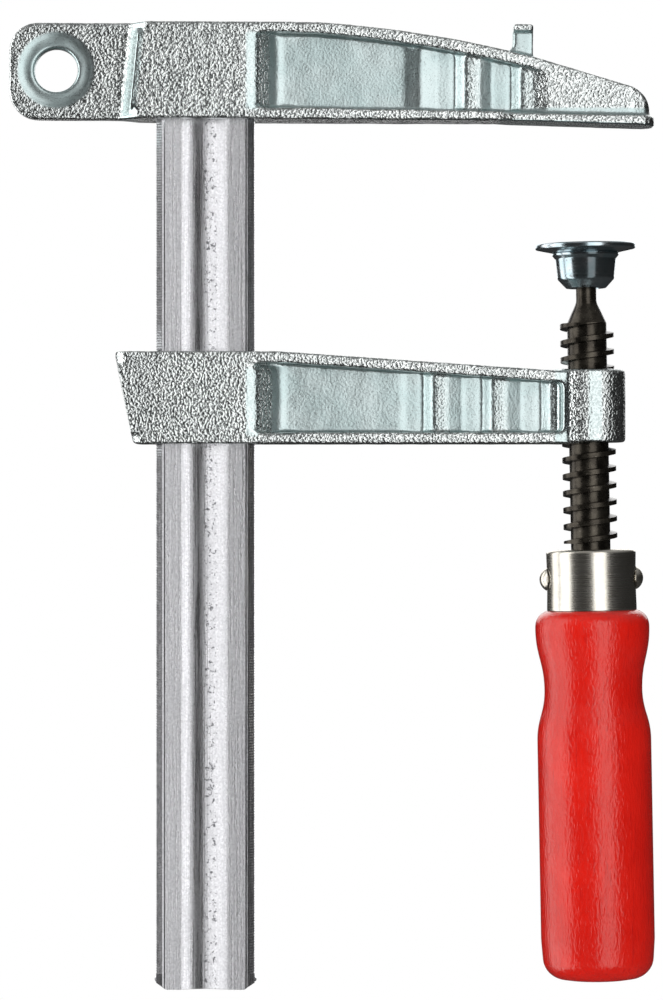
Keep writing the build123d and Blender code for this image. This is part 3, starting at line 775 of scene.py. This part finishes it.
def area_light(name, place, target, size, glow, glossy=True, only=None):
    """A rectangular soft light aimed at a point. glow is its radiance; only names what it falls on."""
    data = bpy.data.lights.new(name, "AREA")
    data.shape = "RECTANGLE"
    data.size, data.size_y = size
    data.energy = glow * math.pi * size[0] * size[1]
    light = bpy.data.objects.new(name, data)
    bpy.context.scene.collection.objects.link(light)
    light.location = place
    light.rotation_euler = (Vector(target) - Vector(place)).to_track_quat("-Z", "Y").to_euler()
    light.visible_camera = False
    light.visible_glossy = glossy
    if only:
        group = bpy.data.collections.new(name + "_receivers")
        for piece in only:
            group.objects.link(piece)
        light.light_linking.receiver_collection = group
    return light


def softbox(name, x, start, end, distance, glow, height=1.3, only=None):
    """An upright soft light that fills the angles from start to end, seen from x.

    Angles are in degrees from the camera's side, positive towards the right.
    """
    middle, half = math.radians((start + end) / 2), math.radians(abs(end - start) / 2)
    target = Vector((x, 0.0, STUDIO_HEIGHT))
    place = target + distance * Vector((math.sin(middle), -math.cos(middle), 0.0))
    return area_light(name, place, target, (2 * distance * math.tan(half), height), glow, only=only)


STUDIO_HEIGHT = -0.13  # metres, like everything in the studio
FLOOR_HEIGHT = -0.50
FLOOR_X = 0.08
RAIL_X, CAST_X, SCREW_X = 0.045, 0.090, 0.160
screw_nodes = [frame["nodes"][n] for n in ("spindle", "pressure_plate", "ball_cup", "handle_rivet")]
turned_group = screw_nodes + [cap, grip]
strip_group = [piece for piece in turned_group if piece is not frame["nodes"]["ball_cup"]]
cast_group = [upper, lower]
rail_group = [bar, head] + burrs

softbox("left_softbox", SCREW_X, -58, -122, 0.62, 1.9, only=turned_group)
softbox("right_strip", SCREW_X, 2, 36, 0.75, 1.9, only=strip_group)
softbox("cup_strip", SCREW_X, 6, 34, 0.75, 0.35, only=[frame["nodes"]["ball_cup"]])
softbox("cast_left", CAST_X, -56, -122, 0.75, 2.6, only=cast_group)
softbox("cast_right", CAST_X, -3, 56, 0.75, 1.55, only=cast_group)
softbox("rail_left", RAIL_X, -2, -66, 0.75, 1.55, only=rail_group)
softbox("rail_right", RAIL_X, 36, 68, 0.75, 1.8, only=rail_group)
softbox("rail_edge", RAIL_X, -100, -140, 0.75, 0.5, only=rail_group)
softbox("rail_back_right", RAIL_X, 146, 177, 0.75, 1.4, only=rail_group)
softbox("rail_back_left", RAIL_X, 194, 222, 0.75, 1.4, only=rail_group)
centre = (0.0825, 0.0, STUDIO_HEIGHT)
area_light("front_fill", (0.1, -1.2, 0.2), centre, (1.2, 1.0), 2.0, glossy=False)
area_light("back_fill", (0.1, 1.0, 0.3), centre, (1.2, 0.8), 1.5)
grip.visible_glossy = False


def studio_world():
    """White behind the object for the camera; a dim soft studio for everything that reflects."""
    world = bpy.data.worlds.new("studio")
    bpy.context.scene.world = world
    world.use_nodes = True
    tree = world.node_tree
    tree.nodes.clear()
    output = tree.nodes.new("ShaderNodeOutputWorld")
    mix = tree.nodes.new("ShaderNodeMixShader")
    path = tree.nodes.new("ShaderNodeLightPath")
    seen = tree.nodes.new("ShaderNodeBackground")
    seen.inputs["Color"].default_value = (1, 1, 1, 1)
    around = tree.nodes.new("ShaderNodeBackground")
    place = tree.nodes.new("ShaderNodeTexCoord")
    parts = tree.nodes.new("ShaderNodeSeparateXYZ")
    ramp = tree.nodes.new("ShaderNodeValToRGB")
    stops = [(0.0, 0.06), (0.36, 0.04), (0.5, 0.02), (0.62, 0.035), (1.0, 0.40)]
    while len(ramp.color_ramp.elements) < len(stops):
        ramp.color_ramp.elements.new(0.5)
    for element, (spot, level) in zip(ramp.color_ramp.elements, stops):
        element.position = spot
        element.color = (level, level, level, 1)
    scaled = tree.nodes.new("ShaderNodeMapRange")
    scaled.inputs["From Min"].default_value = -1.0
    tree.links.new(place.outputs["Generated"], parts.inputs["Vector"])
    tree.links.new(parts.outputs["Z"], scaled.inputs["Value"])
    tree.links.new(scaled.outputs["Result"], ramp.inputs["Fac"])
    tree.links.new(ramp.outputs["Color"], around.inputs["Color"])
    tree.links.new(path.outputs["Is Camera Ray"], mix.inputs["Fac"])
    tree.links.new(around.outputs["Background"], mix.inputs[1])
    tree.links.new(seen.outputs["Background"], mix.inputs[2])
    tree.links.new(mix.outputs["Shader"], output.inputs["Surface"])


def floor():
    """A pale round floor under the hanging clamp, out of the main view."""
    count, radius = 96, 1.3
    places = [(FLOOR_X, 0.0, FLOOR_HEIGHT)]
    for ring in (0.5, 1.0):
        for n in range(count):
            angle = 2 * math.pi * n / count
            x, y = radius * ring * math.cos(angle), radius * ring * math.sin(angle)
            places.append((FLOOR_X + x, y, FLOOR_HEIGHT))
    faces = [(0, 1 + n, 1 + (n + 1) % count) for n in range(count)]
    for n in range(count):
        a, b = 1 + n, 1 + (n + 1) % count
        faces.append((a, a + count, b + count, b))
    mesh = bpy.data.meshes.new("floor")
    mesh.from_pydata(places, [], faces)
    piece = bpy.data.objects.new("floor", mesh)
    bpy.context.scene.collection.objects.link(piece)
    g = Graph("pale_floor")
    speck = g.noise(300, 3.0)
    g.into("Base Color", g.mix(speck, (0.86, 0.86, 0.855), (0.90, 0.90, 0.895)))
    g.set(Roughness=0.7)
    mesh.materials.append(g.material)
    piece.visible_glossy = False
    return piece


def camera():
    """The camera stands level with the middle of the object and looks along +Y."""
    data = bpy.data.cameras.new("camera")
    data.lens = 156.0
    data.sensor_width = 36.0
    data.clip_start, data.clip_end = 0.05, 20.0
    eye = bpy.data.objects.new("camera", data)
    bpy.context.scene.collection.objects.link(eye)
    eye.location = (0.0825, -1.3, -0.1287)
    eye.rotation_euler = (math.pi / 2, 0, 0)
    bpy.context.scene.camera = eye


studio_world()
ground = floor()
middle_of_floor = (FLOOR_X, 0.0, FLOOR_HEIGHT)
area_light("floor_light", (FLOOR_X, 0.0, 1.6), middle_of_floor, (2.4, 2.4), 1.0, False, [ground])
camera()
bpy.context.scene.view_settings.view_transform = "Standard"
